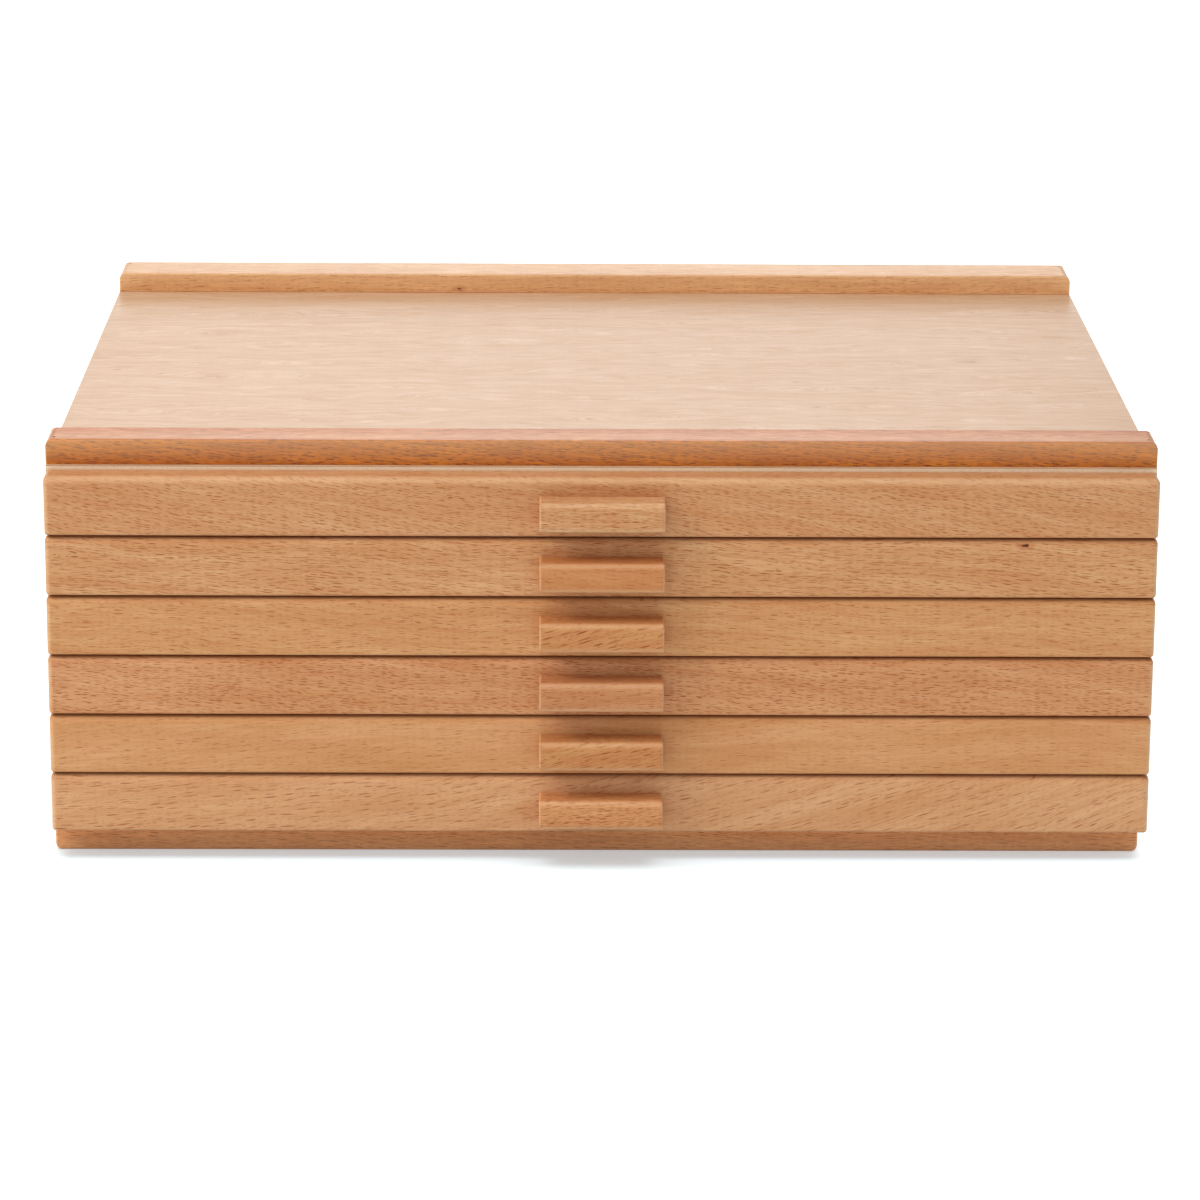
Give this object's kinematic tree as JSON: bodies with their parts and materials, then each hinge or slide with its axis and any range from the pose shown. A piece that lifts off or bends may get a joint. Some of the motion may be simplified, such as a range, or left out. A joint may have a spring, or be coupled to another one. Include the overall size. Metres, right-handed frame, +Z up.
{
  "type": "pencil drawer box",
  "caption": "Wide low wooden box of shallow full-width drawers for pencils and craft parts, each drawer with a short bar pull, under a top panel with raised front and rear battens.",
  "frame": {"origin": "middle of the whole box's footprint, drawers shut, on the plane that the base battens rest on", "axes": "+Z up; -Y is the way the drawers open, so the drawer fronts face -Y; +X is to the right of someone facing the drawer fronts"},
  "size_m": [0.4, 0.3422, 0.1552],
  "materials": {
    "front_beech": "sanded and waxed beech",
    "pull_beech": "sanded and waxed beech",
    "carcass_beech": "sanded and waxed beech",
    "drawer_box_beech": "planed beech, raw",
    "panel_plywood": "sanded birch plywood",
    "drawer_plywood": "sanded birch plywood",
    "brad_steel": "plain steel"
  },
  "bodies": {
    "carcass": {"back_brads": "brad_steel", "back_panel": "panel_plywood", "base_front_batten": "carcass_beech", "base_rear_batten": "carcass_beech", "batten_brads": "brad_steel", "bottom_panel": "panel_plywood", "left_side_panel": "carcass_beech", "right_side_panel": "carcass_beech", "top_front_batten": "carcass_beech", "top_panel": "panel_plywood", "top_rear_batten": "carcass_beech"},
    "drawer_1": {"drawer_1_bottom": "drawer_plywood", "drawer_1_dividers": "drawer_plywood", "drawer_1_front": "front_beech", "drawer_1_front_rail": "drawer_box_beech", "drawer_1_left_rail": "drawer_box_beech", "drawer_1_pull": "pull_beech", "drawer_1_rear_rail": "drawer_box_beech", "drawer_1_right_rail": "drawer_box_beech"},
    "drawer_2": {"drawer_2_bottom": "drawer_plywood", "drawer_2_dividers": "drawer_plywood", "drawer_2_front": "front_beech", "drawer_2_front_rail": "drawer_box_beech", "drawer_2_left_rail": "drawer_box_beech", "drawer_2_pull": "pull_beech", "drawer_2_rear_rail": "drawer_box_beech", "drawer_2_right_rail": "drawer_box_beech"},
    "drawer_3": {"drawer_3_bottom": "drawer_plywood", "drawer_3_dividers": "drawer_plywood", "drawer_3_front": "front_beech", "drawer_3_front_rail": "drawer_box_beech", "drawer_3_left_rail": "drawer_box_beech", "drawer_3_pull": "pull_beech", "drawer_3_rear_rail": "drawer_box_beech", "drawer_3_right_rail": "drawer_box_beech"},
    "drawer_4": {"drawer_4_bottom": "drawer_plywood", "drawer_4_dividers": "drawer_plywood", "drawer_4_front": "front_beech", "drawer_4_front_rail": "drawer_box_beech", "drawer_4_left_rail": "drawer_box_beech", "drawer_4_pull": "pull_beech", "drawer_4_rear_rail": "drawer_box_beech", "drawer_4_right_rail": "drawer_box_beech"},
    "drawer_5": {"drawer_5_bottom": "drawer_plywood", "drawer_5_dividers": "drawer_plywood", "drawer_5_front": "front_beech", "drawer_5_front_rail": "drawer_box_beech", "drawer_5_left_rail": "drawer_box_beech", "drawer_5_pull": "pull_beech", "drawer_5_rear_rail": "drawer_box_beech", "drawer_5_right_rail": "drawer_box_beech"},
    "drawer_6": {"drawer_6_bottom": "drawer_plywood", "drawer_6_dividers": "drawer_plywood", "drawer_6_front": "front_beech", "drawer_6_front_rail": "drawer_box_beech", "drawer_6_left_rail": "drawer_box_beech", "drawer_6_pull": "pull_beech", "drawer_6_rear_rail": "drawer_box_beech", "drawer_6_right_rail": "drawer_box_beech"}
  },
  "joints": [
    {"name": "drawer_1_slide", "type": "slide", "parent": "carcass", "child": "drawer_1", "axis": [0, -1, 0], "range_m": [0, 0.27]},
    {"name": "drawer_2_slide", "type": "slide", "parent": "carcass", "child": "drawer_2", "axis": [0, -1, 0], "range_m": [0, 0.27]},
    {"name": "drawer_3_slide", "type": "slide", "parent": "carcass", "child": "drawer_3", "axis": [0, -1, 0], "range_m": [0, 0.27]},
    {"name": "drawer_4_slide", "type": "slide", "parent": "carcass", "child": "drawer_4", "axis": [0, -1, 0], "range_m": [0, 0.27]},
    {"name": "drawer_5_slide", "type": "slide", "parent": "carcass", "child": "drawer_5", "axis": [0, -1, 0], "range_m": [0, 0.27]},
    {"name": "drawer_6_slide", "type": "slide", "parent": "carcass", "child": "drawer_6", "axis": [0, -1, 0], "range_m": [0, 0.27]}
  ]
}
